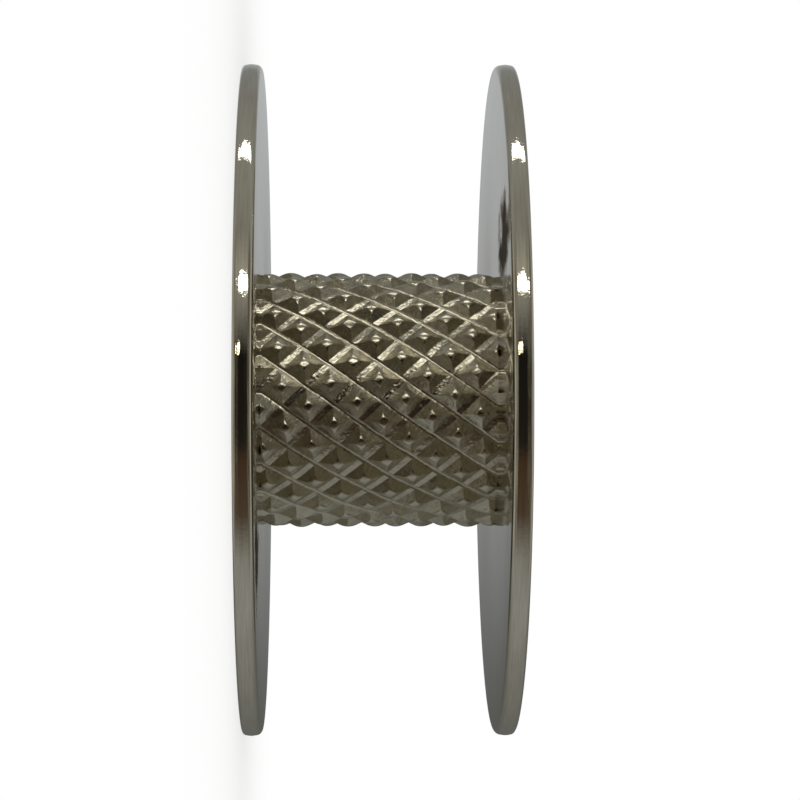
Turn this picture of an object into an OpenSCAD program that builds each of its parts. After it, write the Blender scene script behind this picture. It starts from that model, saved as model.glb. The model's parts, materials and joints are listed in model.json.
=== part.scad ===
// Sewing machine bobbin: a knurled tube with a thin disc swaged on at each end.
// The axis is +Z, and the origin is the centre of the lower disc's outer face.

/* [Overall] */
// Diameter of both flanges
flange_d = 21; // [16:0.5:30]
// Width over both flanges
bobbin_w = 8.4; // [6:0.1:14]
// Diameter of the hole through the hub
bore_d = 6; // [4:0.1:6.2]

/* [Flanges] */
// Thickness of a flange
flange_t = 0.6; // [0.5:0.05:1.2]
// Radius that rounds both corners of a flange's rim
rim_round = 0.12; // [0.04:0.01:0.2]

/* [Knurl] */
// Diameter over the tops of the teeth
knurl_d = 8; // [7.6:0.1:12]
// Width across the blunt top of a tooth
tooth_top = 0.3; // [0.15:0.01:0.4]
// Angle round the hub of one tooth that stands halfway up it
tooth_at = 261; // [0:1:360]
// Number of narrow grooves around the hub
narrow_starts = 21; // [16:1:26]
// Angle between a narrow groove and the axis
narrow_angle = 36.2; // [30:0.1:45]
// Depth of a narrow groove
narrow_depth = 0.26; // [0.1:0.01:0.3]
// Width of a narrow groove's floor
narrow_floor = 0.06; // [0.02:0.01:0.12]
// Number of wide grooves around the hub
wide_starts = 18; // [14:1:26]
// Angle between a wide groove and the axis
wide_angle = 45.7; // [35:0.1:52]
// Depth of a wide groove
wide_depth = 0.22; // [0.1:0.01:0.3]
// Width of a wide groove's floor
wide_floor = 0.18; // [0.05:0.01:0.25]
// Size of the chamfer that ends the knurl at each flange
end_chamfer = 0.05; // [0.02:0.01:0.3]

/* [Swaged ends] */
// Wall of the hub where it passes through a flange
spigot_wall = 0.4; // [0.25:0.05:0.5]
// Depth of the countersink that the hub's end is flared into
flare_depth = 0.3; // [0.1:0.05:0.4]
// How far the flared end stops short of the flange's outer face
flare_sunk = 0.03; // [0:0.01:0.08]
// Gap between the hub's end and the hole that it is swaged into
swage_gap = 0; // [0:0.01:0.05]
// Size of the chamfer at each mouth of the bore
mouth_chamfer = 0.15; // [0.05:0.05:0.2]

/* [Hidden] */
nickel = [0.72, 0.70, 0.66];
dull_nickel = [0.52, 0.50, 0.44];
smooth = 160;

bore_r = bore_d / 2;
spigot_r = bore_r + spigot_wall;
flange_r = flange_d / 2;
tip_r = knurl_d / 2;
hub_middle = bobbin_w / 2;
round_steps = 5;

// The sleeve reaches into the tube's wall by half, so that the two become one solid.
sleeve_bore_r = bore_r + spigot_wall / 2;

// The knurled bar is longer than the sleeve that is cut from it, and stands past its ends.
bar_spare = 0.7;
bar_from = flange_t - bar_spare;
bar_to = bobbin_w - flange_t + bar_spare;

// Degrees that a groove turns in one millimetre of the axis, the narrow ones one way and the
// wide ones the other.
narrow_turn = tan(narrow_angle) * 180 / (PI * tip_r);
wide_turn = tan(wide_angle) * 180 / (PI * tip_r);
both_turns = narrow_turn + wide_turn;

// Spacing of neighbouring grooves, measured square across them.
narrow_pitch = 2 * PI * tip_r / narrow_starts * cos(narrow_angle);
wide_pitch = 2 * PI * tip_r / wide_starts * cos(wide_angle);

// The surface is a grid whose lines follow the two families of grooves. Each tooth has four
// lines across it in either family: two on its top and two on the next groove's floor.
lines = 4;
function tooth_lines(pitch, floor_w) = [
    -tooth_top / 2 / pitch,
    tooth_top / 2 / pitch,
    0.5 - floor_w / 2 / pitch,
    0.5 + floor_w / 2 / pitch
];
across_narrow = tooth_lines(narrow_pitch, narrow_floor);
across_wide = tooth_lines(wide_pitch, wide_floor);
function step_of(line) = line - lines * floor(line / lines);
function on_top(line) = step_of(line) < 2;
function teeth_to(line, across) = floor(line / lines) + across[step_of(line)];

// Columns follow the narrow grooves. Row 0 of every column starts near the bar's lower end, so
// a column further round starts on a later line of the wide family.
columns = lines * narrow_starts;
first_line = floor(lines * wide_starts * (bar_from - hub_middle) * both_turns / 360);
last_line = ceil(lines * wide_starts * (bar_to - hub_middle) * both_turns / 360);
rows = last_line - first_line;
function column_shift(column) = round(column * wide_starts / narrow_starts);
function wide_line(column, row) = first_line + row + column_shift(column);

function grid_radius(column, line) =
    tip_r - max(on_top(column) ? 0 : narrow_depth, on_top(line) ? 0 : wide_depth);

function grid_point(column, row) =
    let (
        line = wide_line(column, row),
        a = teeth_to(column, across_narrow) / narrow_starts,
        b = teeth_to(line, across_wide) / wide_starts,
        up = 360 * (b - a) / both_turns,
        turn = tooth_at + 360 * a + narrow_turn * up,
        r = grid_radius(column, line)
    )
    [r * cos(turn), r * sin(turn), hub_middle + up];

function index(column, row) = (column % columns) * (rows + 1) + row;

// Two triangles between neighbouring grid lines, split along the tooth's ridge.
function grid_cell(column, row, shift) =
    let (
        line = wide_line(column, row),
        ridge_rises = on_top(column) == on_top(line),
        p = index(column, row),
        q = index(column, row + 1),
        s = index(column + 1, row + 1 - shift),
        t = index(column + 1, row - shift)
    )
    ridge_rises ? [[p, q, s], [p, s, t]] : [[p, q, t], [q, s, t]];

// The strip between a column and the next, whose rows lie shift lines further on.
function strip(column) =
    let (shift = column_shift(column + 1) - column_shift(column))
    [
        for (row = [0:1:shift - 1])
            [index(column, row), index(column, row + 1), index(column + 1, 0)],
        for (row = [shift:1:rows - 1]) each grid_cell(column, row, shift),
        for (row = [rows - shift:1:rows - 1])
            [index(column, rows), index(column + 1, row + 1), index(column + 1, row)]
    ];

// A solid bar with the knurl all over its side.
module knurled_bar() {
    bottom = columns * (rows + 1);
    top = bottom + 1;
    points = [
        for (column = [0:columns - 1], row = [0:rows]) grid_point(column, row),
        [0, 0, bar_from],
        [0, 0, bar_to]
    ];
    faces = [
        for (column = [0:columns - 1])
            each concat(
                strip(column),
                [[bottom, index(column, 0), index(column + 1, 0)]],
                [[top, index(column + 1, rows), index(column, rows)]]
            )
    ];
    polyhedron(points, faces);
}

// The room for the sleeve between the flanges, with the chamfers that end the knurl.
module sleeve_room() {
    edge_r = tip_r - end_chamfer;
    outer_r = tip_r + end_chamfer;
    rise = outer_r - edge_r;
    from = flange_t;
    to = bobbin_w - flange_t;
    rotate_extrude($fn = smooth)
        polygon([
            [sleeve_bore_r, from],
            [edge_r, from],
            [outer_r, from + rise],
            [outer_r, to - rise],
            [edge_r, to],
            [sleeve_bore_r, to]
        ]);
}

// The tube that carries the sleeve, with both ends flared outwards.
module hub_tube() {
    from = flare_sunk;
    to = bobbin_w - flare_sunk;
    flare_r = spigot_r + flare_depth - flare_sunk;
    rotate_extrude($fn = smooth)
        polygon([
            [bore_r + mouth_chamfer, from],
            [flare_r, from],
            [spigot_r, flare_depth],
            [spigot_r, bobbin_w - flare_depth],
            [flare_r, to],
            [bore_r + mouth_chamfer, to],
            [bore_r, to - mouth_chamfer],
            [bore_r, from + mouth_chamfer]
        ]);
}

module knurled_hub() {
    color(dull_nickel) {
        hub_tube();
        intersection() {
            knurled_bar();
            sleeve_room();
        }
    }
}

// Points of a quarter round at a rim corner, centred at [x, y] and swept from one angle.
function corner_round(x, y, from) = [
    for (step = [0:round_steps])
        let (turn = from + 90 * step / round_steps)
        [x + rim_round * cos(turn), y + rim_round * sin(turn)]
];

// A disc with its outer face down, and the countersink for the hub's end in that face.
module flange() {
    hole_r = spigot_r + swage_gap;
    rotate_extrude($fn = smooth)
        polygon(concat(
            [[hole_r, flange_t], [hole_r, flare_depth], [hole_r + flare_depth, 0]],
            corner_round(flange_r - rim_round, rim_round, -90),
            corner_round(flange_r - rim_round, flange_t - rim_round, 0)
        ));
}

module lower_flange() {
    color(nickel) flange();
}

module upper_flange() {
    color(nickel)
        translate([0, 0, bobbin_w])
            mirror([0, 0, 1])
                flange();
}

knurled_hub();
lower_flange();
upper_flange();
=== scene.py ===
import json
import math

import bmesh
import bpy
from mathutils import Matrix, Vector


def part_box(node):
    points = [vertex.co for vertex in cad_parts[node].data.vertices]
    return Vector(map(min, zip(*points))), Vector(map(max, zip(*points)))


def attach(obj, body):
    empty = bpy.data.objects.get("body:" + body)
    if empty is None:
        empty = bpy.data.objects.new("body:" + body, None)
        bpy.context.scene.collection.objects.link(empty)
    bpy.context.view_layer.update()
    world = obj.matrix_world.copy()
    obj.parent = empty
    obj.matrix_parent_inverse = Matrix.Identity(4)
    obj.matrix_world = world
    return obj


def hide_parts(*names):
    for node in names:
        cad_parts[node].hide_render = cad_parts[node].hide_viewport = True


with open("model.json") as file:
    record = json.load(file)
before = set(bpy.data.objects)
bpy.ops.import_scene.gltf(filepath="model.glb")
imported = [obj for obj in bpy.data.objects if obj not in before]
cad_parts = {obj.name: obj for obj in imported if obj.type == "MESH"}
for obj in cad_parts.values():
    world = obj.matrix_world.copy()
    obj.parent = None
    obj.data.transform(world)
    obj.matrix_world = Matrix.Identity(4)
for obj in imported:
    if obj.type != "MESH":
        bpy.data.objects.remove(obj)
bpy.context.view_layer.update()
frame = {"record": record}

mm = 0.001
fullTurn = 2 * math.pi
noiseSpan = (0.3, 0.7)  # nearly all of a noise lies between these

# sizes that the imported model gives
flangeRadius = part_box("lower_flange")[1].x
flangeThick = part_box("lower_flange")[1].z
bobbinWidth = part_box("upper_flange")[1].z
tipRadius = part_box("knurled_hub")[1].x
boreRadius = frame["record"]["mounts"][0]["dims"]["r_mm"] * mm


def addNode(tree, kind, *values, **named):
    node = tree.nodes.new(kind)
    for name in [n for n in named if hasattr(node, n)]:  # settings first, since they change the sockets
        setattr(node, name, named.pop(name))
    for key, value in list(enumerate(values)) + list(named.items()):
        if isinstance(value, bpy.types.Node):
            value = value.outputs[0]
        if isinstance(value, bpy.types.NodeSocket):
            tree.links.new(value, node.inputs[key])
        else:
            node.inputs[key].default_value = value
    return node


# sRGB, as a colour picker gives it, to the linear values that a shader takes
def linearColour(hexText, alpha=1.0):
    shares = [int(hexText[i:i + 2], 16) / 255 for i in (1, 3, 5)]
    return [s / 12.92 if s <= 0.04045 else ((s + 0.055) / 1.055) ** 2.4 for s in shares] + [alpha]


# camera: nearly square to the axis and nearer the lower flange, rolled so that the axis lies level
cameraSetup = {
    "distance": 85.4 * mm,
    "belowMiddle": 1.18 * mm,
    "swing": 1.26,  # degrees towards the upper flange
    "lens": 121.9,
}


def makeCamera(setup):
    swing = math.radians(setup["swing"])
    forward = Vector((0, math.cos(swing), math.sin(swing)))
    right = Vector((0, -math.sin(swing), math.cos(swing)))
    up = right.cross(forward)
    camera = bpy.data.objects.new("camera", bpy.data.cameras.new("camera"))
    bpy.context.scene.collection.objects.link(camera)
    turned = Matrix((right, up, -forward)).transposed().to_4x4()
    turned.translation = (0, -setup["distance"], bobbinWidth / 2 - setup["belowMiddle"])
    camera.matrix_world = turned
    camera.data.lens = setup["lens"]
    camera.data.sensor_width = 36
    camera.data.clip_start = 1 * mm
    camera.data.clip_end = 20
    bpy.context.scene.camera = camera
    print("camera placed")


makeCamera(cameraSetup)


# painted reflection of the dark hub: a dark matt film with a ragged edge, standing in for the hub mirrored
# in a flange's inner face, which stops where a flange's rim begins to round
def addPaintedHubReflections(tree, look, shader, place, tone, gloss):
    facing = addNode(tree, "ShaderNodeSeparateXYZ", addNode(tree, "ShaderNodeTexCoord").outputs["Normal"])
    facing = addNode(tree, "ShaderNodeMath", facing.outputs[2], operation="ABSOLUTE")
    onFace = addNode(tree, "ShaderNodeMapRange", facing, *look["flatness"])
    drawn = addNode(tree, "ShaderNodeMapping", place, Scale=look["paintedReflectionGrain"])
    ragged = addNode(tree, "ShaderNodeTexNoise", Vector=drawn, Scale=1.0, Detail=3)
    ragged = addNode(tree, "ShaderNodeMath", ragged, -0.5, operation="ADD")
    hubReflectionShare = 0.0
    for centre, size in look["paintedReflections"]:
        spot = addNode(tree, "ShaderNodeVectorMath", place, centre, operation="SUBTRACT")
        spot = addNode(tree, "ShaderNodeVectorMath", spot, size, operation="DIVIDE")
        away = addNode(tree, "ShaderNodeVectorMath", spot, operation="LENGTH").outputs[1]
        away = addNode(tree, "ShaderNodeMath", ragged, look["raggedness"], away, operation="MULTIPLY_ADD")
        patch = addNode(tree, "ShaderNodeMapRange", away, 1.0, look["paintedReflectionCore"],
                        interpolation_type="SMOOTHSTEP")
        hubReflectionShare = addNode(tree, "ShaderNodeMath", patch, hubReflectionShare, operation="MAXIMUM")
    hubReflectionShare = addNode(tree, "ShaderNodeMath", hubReflectionShare, onFace, operation="MULTIPLY")
    toneWithHubReflection = addNode(tree, "ShaderNodeMix", hubReflectionShare, data_type="RGBA")
    tree.links.new(tone, toneWithHubReflection.inputs[6])
    toneWithHubReflection.inputs[7].default_value = linearColour(look["paintedReflectionTone"])
    tree.links.new(toneWithHubReflection.outputs[2], shader.inputs["Base Color"])
    matt = addNode(tree, "ShaderNodeMapRange", hubReflectionShare, 0.0, 1.0, gloss, look["paintedReflectionRough"])
    tree.links.new(matt.outputs[0], shader.inputs["Roughness"])
    bare = addNode(tree, "ShaderNodeMath", 1.0, hubReflectionShare, operation="SUBTRACT")
    tree.links.new(bare.outputs[0], shader.inputs["Metallic"])


# bright nickel plate: a slightly warm mirror, broken up by tumbling marks and duller where it lies deep
def nickelPlate(name, look):
    material = bpy.data.materials.new(name)
    material.use_nodes = True
    tree = material.node_tree
    tree.nodes.clear()
    place = addNode(tree, "ShaderNodeTexCoord").outputs["Object"]
    haze = addNode(tree, "ShaderNodeTexNoise", Vector=place, Scale=1 / look["hazeSize"], Detail=4)
    share = haze
    if "streaks" in look:
        drawn = addNode(tree, "ShaderNodeMapping", place, Scale=look["streakStretch"])
        lines = addNode(tree, "ShaderNodeTexNoise", Vector=drawn, Scale=1 / look["streakSize"], Detail=2)
        lines = addNode(tree, "ShaderNodeMath", lines, 0.5, operation="SUBTRACT")
        share = addNode(tree, "ShaderNodeMath", lines, look["streaks"], haze, operation="MULTIPLY_ADD")
    tone = addNode(tree, "ShaderNodeMix", share, data_type="RGBA")
    tone.inputs[6].default_value = linearColour(look["lowTone"])
    tone.inputs[7].default_value = linearColour(look["highTone"])
    depth = addNode(tree, "ShaderNodeAttribute", attribute_name="depth").outputs["Fac"]
    gloss = addNode(tree, "ShaderNodeMapRange", haze, *noiseSpan, look["smoothest"], look["roughest"])
    gloss = addNode(tree, "ShaderNodeMath", depth, look["duller"], gloss, operation="MULTIPLY_ADD")
    marks = addNode(tree, "ShaderNodeTexNoise", Vector=place, Scale=1 / look["markSize"], Detail=3,
                    Roughness=0.6)
    bends = addNode(tree, "ShaderNodeTexNoise", Vector=place, Scale=1 / look["bendSize"], Detail=1)
    slow = addNode(tree, "ShaderNodeBump", Height=bends, Distance=look["bendDepth"])
    fine = addNode(tree, "ShaderNodeBump", Height=marks, Distance=look["markDepth"], Normal=slow)
    shader = addNode(tree, "ShaderNodeBsdfPrincipled", Metallic=1.0, Roughness=gloss, Normal=fine,
                     **{"Base Color": tone.outputs[2]})
    # painted reflections of the dark hub: dark matt patches on the inner faces
    if "paintedReflections" in look:
        addPaintedHubReflections(tree, look, shader, place, tone.outputs[2], gloss)
    addNode(tree, "ShaderNodeOutputMaterial", shader)
    print(name, "mixed")
    return material


# over rolled steel: satin rather than mirror, with sharp sparks where the rolled surface is crumpled
hubPlate = nickelPlate("nickelPlateKnurled", {
    "lowTone": "#A09A88",
    "highTone": "#D0CBBA",
    "hazeSize": 0.3 * mm,
    "smoothest": 0.1,
    "roughest": 0.22,
    "duller": 0.05,
    "markSize": 0.06 * mm,
    "markDepth": 0.008 * mm,
    "bendSize": 0.4 * mm,
    "bendDepth": 0.004 * mm,
})

# over polished sheet: a mirror with a slow waver, fine lines round the rim from its turning, and painted
# reflections of the dark hub on its inner faces
flangePlate = nickelPlate("nickelPlatePolished", {
    "lowTone": "#BDB7A9",
    "highTone": "#CFCABE",
    "hazeSize": 1.5 * mm,
    "smoothest": 0.02,
    "roughest": 0.06,
    "duller": 0.0,
    "markSize": 0.12 * mm,
    "markDepth": 0.002 * mm,
    "bendSize": 2.5 * mm,
    "bendDepth": 0.008 * mm,
    "streakSize": 0.05 * mm,
    "streakStretch": (0.04, 0.04, 1),
    "streaks": 2.0,  # how strongly the lines change the tone
    "paintedReflections": [  # middle and reach of each painted reflection of the hub, on the inner faces beside the hub
        ((-4.7 * mm, -6.3 * mm, bobbinWidth - flangeThick), (1.7 * mm, 3.4 * mm, 0.2 * mm)),
        ((4.6 * mm, -7.2 * mm, flangeThick), (1.9 * mm, 2.4 * mm, 0.2 * mm)),
    ],
    # the dark tone of the painted hub reflections
    "paintedReflectionTone": "#33281A",
    "paintedReflectionRough": 0.85,
    "paintedReflectionGrain": (1.0 / mm, 0.5 / mm, 1.0 / mm),  # drawn out along Y
    "paintedReflectionCore": 0.35,  # how far out, of its reach, a painted hub reflection is at its darkest
    "raggedness": 1.9,
    "flatness": (0.95, 0.99),  # how level the surface is where a stain begins, and where it is full
})


# hub: two crossing families of rolled grooves leave four-sided teeth with small domed tops
knurl = {
    "narrowStarts": 21,
    "narrowAngle": 36.2,  # degrees from the axis
    "narrowDepth": 0.26 * mm,
    "narrowFloor": 0.06 * mm,
    "wideStarts": 18,
    "wideAngle": 45.7,  # the other way
    "wideDepth": 0.22 * mm,
    "wideFloor": 0.18 * mm,
    "toothTop": 0.38 * mm,
    "crownHeight": 0.075 * mm,
    "fullness": 0.5,  # 1 falls off softly from a tooth's top, and less makes it a button
    "toothAt": 261,  # degrees round the hub
    "endChamfer": 0.05 * mm,
    "bendSize": 1.1 * mm,
    "bend": 0.07 * mm,
    "grainSize": 0.09 * mm,
    "grain": 0.03 * mm,
    "linesOnTop": 5,  # from a tooth's middle to the edge of its top
    "linesOnFlank": 2,
    "linesOnFloor": 2,
    "chamferBlend": 0.01 * mm,
    "mergeWithin": 0.002 * mm,
}

# its ends: turned down, passed through the flanges and flared into their countersinks
hubEnds = {
    "spigotRadius": 3.4 * mm,
    "flareDepth": 0.3 * mm,
    "flareSunk": 0.03 * mm,
    "mouthChamfer": 0.15 * mm,
    "edgeRound": 0.04 * mm,
    "sharpFrom": math.radians(50),
}


def knurlTree(sizes):
    tree = bpy.data.node_groups.new("knurledSleeve", "GeometryNodeTree")
    for kind, names in (
        ("Int", ("Columns", "Rows")),
        ("Float", ("First Tooth", "Tooth Angle", "Narrow Starts", "Wide Starts", "Narrow Turn", "Wide Turn",
                   "Narrow Pitch", "Wide Pitch", "Narrow Depth", "Wide Depth", "Top", "Crown",
                   "Narrow Flank", "Narrow Foot", "Narrow Floor", "Wide Flank", "Wide Floor",
                   "Tip Radius", "End Chamfer", "Bend Size", "Bend", "Grain Size", "Grain",
                   "Lower End", "Upper End", "Middle", "Inner Radius")),
        ("Material", ("Plating",)),
    ):
        for name in names:
            tree.interface.new_socket(name=name, in_out="INPUT", socket_type="NodeSocket" + kind)
    tree.interface.new_socket(name="Sleeve", in_out="OUTPUT", socket_type="NodeSocketGeometry")
    given = addNode(tree, "NodeGroupInput").outputs

    # a flat sheet of grid lines: x counts lines across the narrow grooves, y across the wide ones
    sheet = addNode(tree, "GeometryNodeMeshGrid", given["Columns"], given["Rows"],
                    addNode(tree, "ShaderNodeMath", given["Columns"], 1, operation="ADD"),
                    addNode(tree, "ShaderNodeMath", given["Rows"], 1, operation="ADD"))
    flat = addNode(tree, "ShaderNodeSeparateXYZ", addNode(tree, "GeometryNodeInputPosition"))
    x, y = flat.outputs[0], flat.outputs[1]
    column = addNode(tree, "ShaderNodeMath", given["Columns"], 0.5, x, operation="MULTIPLY_ADD")
    row = addNode(tree, "ShaderNodeMath", given["Rows"], 0.5, y, operation="MULTIPLY_ADD")

    # where each line lies, in teeth: many lines on the domed top, few on the flat flank
    top = sizes["linesOnTop"]
    flank = top + sizes["linesOnFlank"]
    half = flank + sizes["linesOnFloor"]
    places = []
    sides = []
    for line, first, pitch, bands in (
        (column, 0.0, given["Narrow Pitch"],
         ((0, top, "Top"), (top, flank, "Narrow Flank"), (flank, half - 1, "Narrow Foot"),
          (half - 1, half, "Narrow Floor"))),
        (row, given["First Tooth"], given["Wide Pitch"],
         ((0, top, "Top"), (top, flank, "Wide Flank"), (flank, half, "Wide Floor"))),
    ):
        tooth = addNode(tree, "ShaderNodeMath", line, 2 * half, operation="DIVIDE")
        tooth = addNode(tree, "ShaderNodeMath", tooth, operation="ROUND")
        step = addNode(tree, "ShaderNodeMath", tooth, -2 * half, line, operation="MULTIPLY_ADD")
        count = addNode(tree, "ShaderNodeMath", step, operation="ABSOLUTE")
        reach = 0.0
        for start, end, width in bands:
            part = addNode(tree, "ShaderNodeMapRange", count, start, end, 0.0, given[width])
            reach = addNode(tree, "ShaderNodeMath", part, reach, operation="ADD")
        side = addNode(tree, "ShaderNodeMath", step, operation="SIGN")
        reach = addNode(tree, "ShaderNodeMath", reach, pitch, operation="DIVIDE")
        tooth = addNode(tree, "ShaderNodeMath", tooth, first, operation="ADD")
        places.append(addNode(tree, "ShaderNodeMath", reach, side, tooth, operation="MULTIPLY_ADD"))
        sides.append(side)
    narrowPlace, widePlace = places

    # height up the axis, held between the two ends, and the angle that the narrow groove has there
    narrowShare = addNode(tree, "ShaderNodeMath", narrowPlace, given["Narrow Starts"], operation="DIVIDE")
    wideShare = addNode(tree, "ShaderNodeMath", widePlace, given["Wide Starts"], operation="DIVIDE")
    gap = addNode(tree, "ShaderNodeMath", wideShare, narrowShare, operation="SUBTRACT")
    gap = addNode(tree, "ShaderNodeMath", gap, fullTurn, operation="MULTIPLY")
    turns = addNode(tree, "ShaderNodeMath", given["Narrow Turn"], given["Wide Turn"], operation="ADD")
    free = addNode(tree, "ShaderNodeMath", gap, turns, operation="DIVIDE")
    low = addNode(tree, "ShaderNodeMath", given["Lower End"], given["Middle"], operation="SUBTRACT")
    high = addNode(tree, "ShaderNodeMath", given["Upper End"], given["Middle"], operation="SUBTRACT")
    up = addNode(tree, "ShaderNodeClamp", free, low, high)
    angle = addNode(tree, "ShaderNodeMath", narrowShare, fullTurn, given["Tooth Angle"],
                    operation="MULTIPLY_ADD")
    angle = addNode(tree, "ShaderNodeMath", up, given["Narrow Turn"], angle, operation="MULTIPLY_ADD")
    wideShare = addNode(tree, "ShaderNodeMath", up, turns, operation="MULTIPLY")
    wideShare = addNode(tree, "ShaderNodeMath", wideShare, 1 / fullTurn, narrowShare,
                        operation="MULTIPLY_ADD")
    widePlace = addNode(tree, "ShaderNodeMath", wideShare, given["Wide Starts"], operation="MULTIPLY")

    # how far the surface lies below the tips: a dome inside a tooth's top, flat flanks outside it
    edge = addNode(tree, "ShaderNodeMath", given["Top"], given["Narrow Flank"], operation="ADD")
    narrowFoot = addNode(tree, "ShaderNodeMath", edge, given["Narrow Foot"], operation="ADD")
    wideFoot = addNode(tree, "ShaderNodeMath", given["Top"], given["Wide Flank"], operation="ADD")
    offsets = []
    domes = []
    flanks = []
    for place, pitch, foot, depth in (
        (narrowPlace, given["Narrow Pitch"], narrowFoot, given["Narrow Depth"]),
        (widePlace, given["Wide Pitch"], wideFoot, given["Wide Depth"]),
    ):
        nearest = addNode(tree, "ShaderNodeMath", place, operation="ROUND")
        offset = addNode(tree, "ShaderNodeMath", place, nearest, operation="SUBTRACT")
        offset = addNode(tree, "ShaderNodeMath", offset, pitch, operation="MULTIPLY")
        offset = addNode(tree, "ShaderNodeMath", offset, operation="ABSOLUTE")
        share = addNode(tree, "ShaderNodeMapRange", offset, 0.0, given["Top"], 0.0, 1.0)
        fall = addNode(tree, "ShaderNodeMath", depth, given["Crown"], operation="SUBTRACT")
        offsets.append(offset)
        share = addNode(tree, "ShaderNodeMath", share, share, operation="MULTIPLY")
        domes.append(addNode(tree, "ShaderNodeMath", 1.0, share, operation="SUBTRACT"))
        flanks.append(addNode(tree, "ShaderNodeMapRange", offset, given["Top"], foot, 0.0, fall))
    dome = addNode(tree, "ShaderNodeMath", domes[0], domes[1], operation="MULTIPLY")
    dome = addNode(tree, "ShaderNodeMath", dome, sizes["fullness"], operation="POWER")
    dome = addNode(tree, "ShaderNodeMath", 1.0, dome, operation="SUBTRACT")
    fall = addNode(tree, "ShaderNodeMath", flanks[0], flanks[1], operation="MAXIMUM")
    fall = addNode(tree, "ShaderNodeMath", dome, given["Crown"], fall, operation="MULTIPLY_ADD")
    depth = addNode(tree, "ShaderNodeMath", fall, given["Narrow Depth"], operation="DIVIDE")

    # slow bends of the pattern, and a grain that is coarser the deeper it lies
    cosine = addNode(tree, "ShaderNodeMath", angle, operation="COSINE")
    sine = addNode(tree, "ShaderNodeMath", angle, operation="SINE")
    spot = addNode(tree, "ShaderNodeMath", up, given["Tip Radius"], operation="DIVIDE")
    spot = addNode(tree, "ShaderNodeCombineXYZ", cosine, sine, spot)
    spot = addNode(tree, "ShaderNodeVectorMath", spot, operation="SCALE", Scale=given["Tip Radius"])
    scale = addNode(tree, "ShaderNodeMath", 1.0, given["Bend Size"], operation="DIVIDE")
    bends = addNode(tree, "ShaderNodeTexNoise", Vector=spot, Scale=scale, Detail=1.0).outputs["Color"]
    bends = addNode(tree, "ShaderNodeVectorMath", bends, (0.5, 0.5, 0.5), operation="SUBTRACT")
    bends = addNode(tree, "ShaderNodeVectorMath", bends, operation="SCALE", Scale=given["Bend"])
    bends = addNode(tree, "ShaderNodeSeparateXYZ", bends).outputs
    scale = addNode(tree, "ShaderNodeMath", 1.0, given["Grain Size"], operation="DIVIDE")
    grain = addNode(tree, "ShaderNodeTexNoise", Vector=spot, Scale=scale, Detail=1.0)
    grain = addNode(tree, "ShaderNodeMath", grain, 0.5, operation="SUBTRACT")
    grain = addNode(tree, "ShaderNodeMath", grain, given["Grain"], operation="MULTIPLY")
    fall = addNode(tree, "ShaderNodeMath", grain, depth, fall, operation="MULTIPLY_ADD")
    fall = addNode(tree, "ShaderNodeMath", bends[2], fall, operation="ADD")

    # the chamfer that ends the knurl at each flange; the bends die out towards it
    fromLow = addNode(tree, "ShaderNodeMath", up, low, operation="SUBTRACT")
    fromHigh = addNode(tree, "ShaderNodeMath", high, up, operation="SUBTRACT")
    nearEnd = addNode(tree, "ShaderNodeMath", fromLow, fromHigh, operation="MINIMUM")
    chamfer = addNode(tree, "ShaderNodeMath", given["End Chamfer"], nearEnd, operation="SUBTRACT")
    fall = addNode(tree, "ShaderNodeMath", fall, chamfer, sizes["chamferBlend"], operation="SMOOTH_MAX")
    fall = addNode(tree, "ShaderNodeMath", fall, 0.0, operation="MAXIMUM")
    radius = addNode(tree, "ShaderNodeMath", given["Tip Radius"], fall, operation="SUBTRACT")
    z = addNode(tree, "ShaderNodeMapRange", nearEnd, 0.0, given["End Chamfer"], 0.0, bends[1])
    z = addNode(tree, "ShaderNodeMath", up, z, operation="ADD")
    z = addNode(tree, "ShaderNodeMath", z, given["Middle"], operation="ADD")
    turn = addNode(tree, "ShaderNodeMath", bends[0], given["Tip Radius"], operation="DIVIDE")
    turn = addNode(tree, "ShaderNodeMath", turn, angle, operation="ADD")

    # the first and last rows make the two end faces
    isFirst = addNode(tree, "ShaderNodeMath", row, 0.5, operation="LESS_THAN")
    lastRow = addNode(tree, "ShaderNodeMath", given["Rows"], 0.5, operation="SUBTRACT")
    isLast = addNode(tree, "ShaderNodeMath", row, lastRow, operation="GREATER_THAN")
    isEnd = addNode(tree, "ShaderNodeMath", isFirst, isLast, operation="ADD")
    radius = addNode(tree, "ShaderNodeMapRange", isEnd, 0.0, 1.0, radius, given["Inner Radius"])
    cosine = addNode(tree, "ShaderNodeMath", turn, operation="COSINE")
    sine = addNode(tree, "ShaderNodeMath", turn, operation="SINE")
    x = addNode(tree, "ShaderNodeMath", cosine, radius, operation="MULTIPLY")
    y = addNode(tree, "ShaderNodeMath", sine, radius, operation="MULTIPLY")

    # each square is split along the ridge of its tooth, which runs the other way past either groove
    quarter = addNode(tree, "ShaderNodeMath", sides[0], sides[1], operation="MULTIPLY")
    risen = addNode(tree, "ShaderNodeMath", quarter, 0.0, operation="GREATER_THAN")
    split = addNode(tree, "GeometryNodeTriangulate", sheet, risen, quad_method="FIXED")
    split = addNode(tree, "GeometryNodeTriangulate", split, True, quad_method="FIXED_ALTERNATE")

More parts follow.
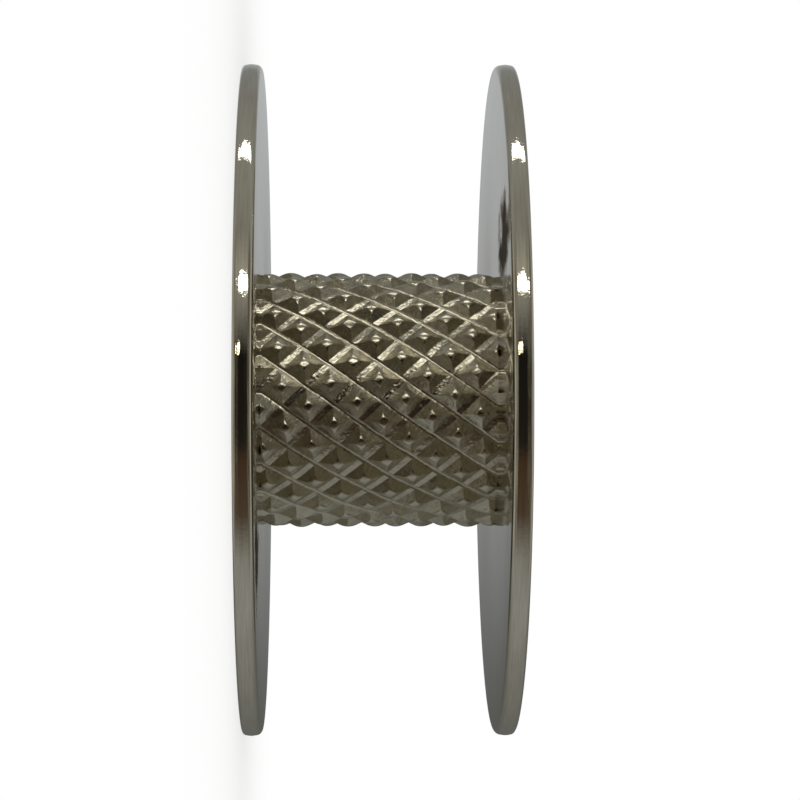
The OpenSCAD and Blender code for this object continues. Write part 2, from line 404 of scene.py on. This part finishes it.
    # only the domes and the bottoms of the narrow grooves are shaded smooth
    inNarrow = addNode(tree, "ShaderNodeMath", offsets[0], edge, operation="GREATER_THAN")
    furthest = addNode(tree, "ShaderNodeMath", offsets[0], offsets[1], operation="MAXIMUM")
    onTop = addNode(tree, "ShaderNodeMath", furthest, given["Top"], operation="LESS_THAN")
    isRound = addNode(tree, "ShaderNodeMath", onTop, inNarrow, operation="ADD")
    shaded = addNode(tree, "GeometryNodeSetShadeSmooth", split, True, isRound, domain="FACE")
    marked = addNode(tree, "GeometryNodeStoreNamedAttribute", shaded, True, "depth", depth, domain="POINT",
                     data_type="FLOAT")
    rolled = addNode(tree, "GeometryNodeSetPosition", marked,
                     Position=addNode(tree, "ShaderNodeCombineXYZ", x, y, z))
    closed = addNode(tree, "GeometryNodeMergeByDistance", rolled, Distance=sizes["mergeWithin"])
    real = addNode(tree, "GeometryNodeRealizeInstances", closed)
    plated = addNode(tree, "GeometryNodeSetMaterial", real, Material=given["Plating"])
    addNode(tree, "NodeGroupOutput", plated)
    return tree


def knurledSleeve(sizes, ends):
    narrowAngle, wideAngle = math.radians(sizes["narrowAngle"]), math.radians(sizes["wideAngle"])
    narrowTurn = math.tan(narrowAngle) / tipRadius
    wideTurn = math.tan(wideAngle) / tipRadius
    narrowPitch = fullTurn * tipRadius / sizes["narrowStarts"] * math.cos(narrowAngle)
    widePitch = fullTurn * tipRadius / sizes["wideStarts"] * math.cos(wideAngle)
    lowerEnd, upperEnd = flangeThick, bobbinWidth - flangeThick
    # once round the hub shifts a line by all the wide starts, so the sheet is that much longer
    halfSleeve = (upperEnd - lowerEnd) / 2 * (narrowTurn + wideTurn) / fullTurn * sizes["wideStarts"]
    firstTooth = -math.ceil(halfSleeve) - 1
    teethAlong = 2 * math.ceil(halfSleeve) + 2 + sizes["wideStarts"]
    linesPerTooth = 2 * (sizes["linesOnTop"] + sizes["linesOnFlank"] + sizes["linesOnFloor"])
    # widths of the bands across half a tooth; a ridge between two flanks then follows the grid
    top = sizes["toothTop"] / 2
    narrowFlank = (narrowPitch - sizes["narrowFloor"]) / 2 - top
    wideFlank = (widePitch - sizes["wideFloor"]) / 2 - top
    crown = sizes["crownHeight"]
    shareToWide = (sizes["wideDepth"] - crown) / (sizes["narrowDepth"] - crown)
    values = {
        "Columns": linesPerTooth * sizes["narrowStarts"],
        "Rows": linesPerTooth * teethAlong,
        "First Tooth": float(firstTooth),
        "Tooth Angle": math.radians(sizes["toothAt"]),
        "Narrow Starts": float(sizes["narrowStarts"]),
        "Wide Starts": float(sizes["wideStarts"]),
        "Narrow Turn": narrowTurn,
        "Wide Turn": wideTurn,
        "Narrow Pitch": narrowPitch,
        "Wide Pitch": widePitch,
        "Narrow Depth": sizes["narrowDepth"],
        "Wide Depth": sizes["wideDepth"],
        "Top": top,
        "Crown": crown,
        "Narrow Flank": narrowFlank * shareToWide,
        "Narrow Foot": narrowFlank * (1 - shareToWide),
        "Narrow Floor": sizes["narrowFloor"] / 2,
        "Wide Flank": wideFlank,
        "Wide Floor": sizes["wideFloor"] / 2,
        "Tip Radius": tipRadius,
        "End Chamfer": sizes["endChamfer"],
        "Bend Size": sizes["bendSize"],
        "Bend": sizes["bend"],
        "Grain Size": sizes["grainSize"],
        "Grain": sizes["grain"],
        "Lower End": lowerEnd,
        "Upper End": upperEnd,
        "Middle": bobbinWidth / 2,
        "Inner Radius": ends["spigotRadius"],
        "Plating": hubPlate,
    }
    tree = knurlTree(sizes)
    holder = bpy.data.objects.new("sleeveHolder", bpy.data.meshes.new("sleeveHolder"))
    bpy.context.scene.collection.objects.link(holder)
    modifier = holder.modifiers.new("knurl", "NODES")
    modifier.node_group = tree
    for socket in tree.interface.items_tree:
        if socket.in_out == "INPUT":
            modifier[socket.identifier] = values[socket.name]
    holder.update_tag()
    bpy.context.view_layer.update()
    solid = holder.evaluated_get(bpy.context.evaluated_depsgraph_get())
    mesh = bpy.data.meshes.new_from_object(solid)
    bpy.data.objects.remove(holder)
    print("knurl rolled:", len(mesh.polygons), "faces")
    return mesh


def roundedCorner(before, corner, after, radius, steps=3):
    a, b, c = Vector(before), Vector(corner), Vector(after)
    start = b + (a - b).normalized() * radius
    end = b + (c - b).normalized() * radius
    share = [i / steps for i in range(steps + 1)]
    return [tuple(start * (1 - s) ** 2 + b * 2 * s * (1 - s) + end * s ** 2) for s in share]


def addRing(mesh, radius, z, angles):
    return [mesh.verts.new((radius * math.cos(t), radius * math.sin(t), z)) for t in angles]


def joinRings(mesh, one, other):
    for i in range(len(one)):
        j = (i + 1) % len(one)
        mesh.faces.new((one[i], one[j], other[j], other[i])).smooth = True


def angleOf(vertex):
    return math.atan2(vertex.co.y, vertex.co.x)


def makeHub():
    mesh = knurledSleeve(knurl, hubEnds)
    shape = bmesh.new()
    shape.from_mesh(mesh)
    rims = {v for e in shape.edges if e.is_boundary for v in e.verts}
    lower = sorted((v for v in rims if v.co.z < bobbinWidth / 2), key=angleOf)
    upper = sorted((v for v in rims if v.co.z > bobbinWidth / 2), key=angleOf)
    # a profile from the sleeve's end face round the flared lip and into the bore
    sunk = hubEnds["flareSunk"]
    spigot = hubEnds["spigotRadius"]
    corners = [
        (spigot, flangeThick),
        (spigot, hubEnds["flareDepth"]),
        (spigot + hubEnds["flareDepth"] - sunk, sunk),
        (boreRadius + hubEnds["mouthChamfer"], sunk),
        (boreRadius, sunk + hubEnds["mouthChamfer"]),
        (boreRadius, flangeThick),
    ]
    profile = []
    for before, corner, after in zip(corners, corners[1:], corners[2:]):
        profile += roundedCorner(before, corner, after, hubEnds["edgeRound"])
    lowerAngles = [angleOf(v) for v in lower]
    upperAngles = [angleOf(v) for v in upper]
    ring = lower
    for radius, z in profile:
        following = addRing(shape, radius, z, lowerAngles)
        joinRings(shape, ring, following)
        ring = following
    for radius, z in reversed(profile):
        following = addRing(shape, radius, bobbinWidth - z, upperAngles)
        joinRings(shape, ring, following)
        ring = following
    joinRings(shape, ring, upper)
    bmesh.ops.recalc_face_normals(shape, faces=shape.faces)
    for edge in shape.edges:
        edge.smooth = edge.calc_face_angle() < hubEnds["sharpFrom"]
    for face in shape.faces:
        face.material_index = 0
    shape.to_mesh(mesh)
    shape.free()
    mesh.materials.clear()
    mesh.materials.append(hubPlate)
    hub = bpy.data.objects.new("knurledHub", mesh)
    bpy.context.scene.collection.objects.link(hub)
    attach(hub, "root")
    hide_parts("knurled_hub")
    print("hub made:", len(mesh.polygons), "faces")


makeHub()


# flange: a stamped disc whose rim is rounded at both corners and very slightly crowned between them
flange = {
    "outerRound": 0.12 * mm,
    "innerRound": 0.2 * mm,
    "rimCrown": 0.017 * mm,
    "holeRadius": hubEnds["spigotRadius"],
    "countersink": hubEnds["flareDepth"],
    "edgeRound": 0.03 * mm,
    "sharpFrom": math.radians(40),
    "segments": 384,
    "steps": 8,  # in each corner and across the land between them
}


def flangeProfile(sizes):
    outerRound, innerRound = sizes["outerRound"], sizes["innerRound"]
    crown, steps = sizes["rimCrown"], sizes["steps"]
    land = flangeRadius - crown
    landWidth = flangeThick - outerRound - innerRound
    hole, sink = sizes["holeRadius"], sizes["countersink"]
    points = []
    for i in range(steps + 1):  # outer corner
        turn = math.radians(-90 + 90 * i / steps)
        points.append((land - outerRound + outerRound * math.cos(turn),
                       outerRound + outerRound * math.sin(turn)))
    for i in range(1, steps):  # crowned land
        share = i / steps
        points.append((land + crown * math.sin(math.pi * share), outerRound + landWidth * share))
    for i in range(steps + 1):  # inner corner
        turn = math.radians(90 * i / steps)
        points.append((land - innerRound + innerRound * math.cos(turn),
                       flangeThick - innerRound + innerRound * math.sin(turn)))
    outer, inner = points[0], points[-1]
    points += roundedCorner(inner, (hole, flangeThick), (hole, sink), sizes["edgeRound"])
    points += [(hole, sink)]
    points += roundedCorner((hole, sink), (hole + sink, 0), outer, sizes["edgeRound"])
    return points


def makeFlange(name, node, flipped):
    shape = bmesh.new()
    angles = [fullTurn * i / flange["segments"] for i in range(flange["segments"])]
    rings = []
    for radius, z in flangeProfile(flange):
        rings.append(addRing(shape, radius, bobbinWidth - z if flipped else z, angles))
    for one, other in zip(rings, rings[1:] + rings[:1]):
        joinRings(shape, one, other)
    bmesh.ops.recalc_face_normals(shape, faces=shape.faces)
    mesh = bpy.data.meshes.new(name)
    shape.to_mesh(mesh)
    shape.free()
    mesh.set_sharp_from_angle(angle=flange["sharpFrom"])
    mesh.materials.append(flangePlate)
    piece = bpy.data.objects.new(name, mesh)
    bpy.context.scene.collection.objects.link(piece)
    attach(piece, "root")
    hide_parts(node)
    print(name, "made:", len(mesh.polygons), "faces")


makeFlange("lowerFlange", "lower_flange", False)
makeFlange("upperFlange", "upper_flange", True)


# floor: pale and matt, and plain white from where the bobbin's shadow has faded out
floorLook = {
    "size": 4.0,
    "tone": "#F4F4F2",
    "shadowPaleness": 0.62,
    "fadeFrom": 11 * mm,
    "fadeTo": 40 * mm,
}


def makeFloor():
    bpy.ops.mesh.primitive_plane_add(size=floorLook["size"])
    floor = bpy.context.object
    floor.name = "floor"
    material = bpy.data.materials.new("paleFloor")
    material.use_nodes = True
    tree = material.node_tree
    tree.nodes.clear()
    place = addNode(tree, "ShaderNodeTexCoord").outputs["Object"]
    away = addNode(tree, "ShaderNodeVectorMath", place, operation="LENGTH").outputs[1]
    fade = addNode(tree, "ShaderNodeMapRange", away, floorLook["fadeFrom"], floorLook["fadeTo"],
                   floorLook["shadowPaleness"], 1.0, interpolation_type="SMOOTHSTEP")
    matt = addNode(tree, "ShaderNodeBsdfDiffuse", linearColour(floorLook["tone"]))
    white = addNode(tree, "ShaderNodeEmission", (1, 1, 1, 1), 1.0)
    both = addNode(tree, "ShaderNodeMixShader", fade.outputs[0], matt.outputs[0], white.outputs[0])
    addNode(tree, "ShaderNodeOutputMaterial", both.outputs[0])
    floor.data.materials.append(material)
    floor.visible_glossy = False


# tent: a room of pale walls, with a dark gap round the camera, that only the metal mirrors
tentLook = {
    "radius": 0.4,
    "sideFrom": 0.24,  # heights above and below the middle, as shares of the radius
    "sideTo": 0.55,
    "upperTones": ("#544B3E", "#7C7C6E"),
    "lowerTones": ("#736A66", "#9D9E88"),
    "aheadFrom": math.radians(75),
    "aheadTo": math.radians(45),
    "clutterSize": 0.09,
    "clutterSpan": (0.38, 0.62),
    "capFrom": 0.78,
    "capTo": 0.97,
    "capTone": "#B9B8B2",
}

# its walls round the axis: degrees from the camera's side towards the picture's top, and a tone
ringStops = [
    (-180, "#979898"),
    (-172, "#5C5D5A"),
    (-130, "#81837F"),
    (-75, "#A4A5A4"),
    (-55, "#9C9D9A"),
    (-38, "#5A4B3F"),
    (-20, "#4C3C2E"),
    (-14, "#282522"),
    (15, "#1D1B19"),
    (30, "#8F8E86"),
    (44, "#B2B1A6"),
    (58, "#94948D"),
    (85, "#9F9F9A"),
    (150, "#8C8E8C"),
    (171, "#B7BABB"),
    (180, "#979898"),
]


def makeTent():
    bpy.ops.mesh.primitive_uv_sphere_add(radius=tentLook["radius"], segments=64, ring_count=32)
    tent = bpy.context.object
    tent.name = "reflectionTent"
    material = bpy.data.materials.new("tentCards")
    material.use_nodes = True
    tree = material.node_tree
    tree.nodes.clear()
    place = addNode(tree, "ShaderNodeTexCoord").outputs["Object"]
    parts = addNode(tree, "ShaderNodeSeparateXYZ", place).outputs
    front = addNode(tree, "ShaderNodeMath", parts[1], -1, operation="MULTIPLY")
    side = addNode(tree, "ShaderNodeMath", parts[0], -1, operation="MULTIPLY")
    bearing = addNode(tree, "ShaderNodeMath", side, front, operation="ARCTAN2")
    share = addNode(tree, "ShaderNodeMapRange", bearing, -math.pi, math.pi, 0.0, 1.0)
    ramp = addNode(tree, "ShaderNodeValToRGB", share)
    stops = ramp.color_ramp.elements
    for degrees, _ in ringStops[1:-1]:
        stops.new((degrees + 180) / 360)
    for stop, (_, tone) in zip(stops, ringStops):
        stop.color = linearColour(tone)
    height = addNode(tree, "ShaderNodeMath", parts[2], tentLook["radius"], operation="DIVIDE")
    ahead = addNode(tree, "ShaderNodeMath", bearing, operation="ABSOLUTE")
    ahead = addNode(tree, "ShaderNodeMapRange", ahead, tentLook["aheadFrom"], tentLook["aheadTo"],
                    interpolation_type="SMOOTHSTEP")
    clutter = addNode(tree, "ShaderNodeTexNoise", Vector=place, Scale=1 / tentLook["clutterSize"], Detail=2)
    clutter = addNode(tree, "ShaderNodeMapRange", clutter, *tentLook["clutterSpan"])
    colour = ramp.outputs[0]
    for start, end, tones in ((tentLook["sideFrom"], tentLook["sideTo"], tentLook["upperTones"]),
                              (-tentLook["sideFrom"], -tentLook["sideTo"], tentLook["lowerTones"])):
        mottled = addNode(tree, "ShaderNodeMix", clutter, data_type="RGBA")
        mottled.inputs[6].default_value = linearColour(tones[0])
        mottled.inputs[7].default_value = linearColour(tones[1])
        aside = addNode(tree, "ShaderNodeMapRange", height, start, end, interpolation_type="SMOOTHSTEP")
        aside = addNode(tree, "ShaderNodeMath", aside, ahead, operation="MULTIPLY")
        cards = addNode(tree, "ShaderNodeMix", aside, data_type="RGBA")
        tree.links.new(colour, cards.inputs[6])
        tree.links.new(mottled.outputs[2], cards.inputs[7])
        colour = cards.outputs[2]
    capped = addNode(tree, "ShaderNodeMath", height, operation="ABSOLUTE")
    capped = addNode(tree, "ShaderNodeMapRange", capped, tentLook["capFrom"], tentLook["capTo"],
                     interpolation_type="SMOOTHSTEP")
    caps = addNode(tree, "ShaderNodeMix", capped, data_type="RGBA")
    tree.links.new(colour, caps.inputs[6])
    caps.inputs[7].default_value = linearColour(tentLook["capTone"])
    glow = addNode(tree, "ShaderNodeEmission", caps.outputs[2], 1.0)
    addNode(tree, "ShaderNodeOutputMaterial", glow.outputs[0])
    tent.data.materials.append(material)
    for ray in ("camera", "diffuse", "transmission", "shadow"):
        setattr(tent, "visible_" + ray, False)


# lamps: degrees round from the camera's side towards the picture's top, and degrees up the axis
lamps = {
    "overhead": {
        "round": 90.5,
        "up": 2,
        "apart": 0.3,
        "alongAxis": 0.22,
        "roundAxis": 0.036,
        "watts": 0.12,
        "tone": "#FFFDF6",
    },
    "frontHigh": {
        "round": 38.5,
        "up": 2,
        "apart": 0.3,
        "alongAxis": 0.22,
        "roundAxis": 0.032,
        "watts": 0.12,
        "tone": "#FFFDF6",
    },
    "frontSmall": {
        "round": 17,
        "up": -14,
        "apart": 0.3,
        "alongAxis": 0.07,
        "roundAxis": 0.008,
        "watts": 0.012,
        "tone": "#FFF0CC",
    },
}


def makeLamp(name, lamp):
    turn, lift = math.radians(lamp["round"]), math.radians(lamp["up"])
    away = Vector((-math.sin(turn) * math.cos(lift), -math.cos(turn) * math.cos(lift), math.sin(lift)))
    data = bpy.data.lights.new(name, "AREA")
    data.shape = "ELLIPSE"
    data.size = lamp["roundAxis"]
    data.size_y = lamp["alongAxis"]
    data.energy = lamp["watts"]
    data.color = linearColour(lamp["tone"])[:3]
    light = bpy.data.objects.new(name, data)
    bpy.context.scene.collection.objects.link(light)
    turned = away.to_track_quat("Z", "Y").to_matrix().to_4x4()
    turned.translation = away * lamp["apart"] + Vector((0, 0, bobbinWidth / 2))
    light.matrix_world = turned


def makeLight():
    world = bpy.data.worlds.new("whiteRoom")
    bpy.context.scene.world = world
    world.use_nodes = True
    back = world.node_tree.nodes["Background"]
    back.inputs["Color"].default_value = (1, 1, 1, 1)
    back.inputs["Strength"].default_value = 1.0
    for name, lamp in lamps.items():
        makeLamp(name, lamp)
    bpy.context.scene.view_settings.view_transform = "Standard"


makeFloor()
makeTent()
makeLight()
print("stage set")
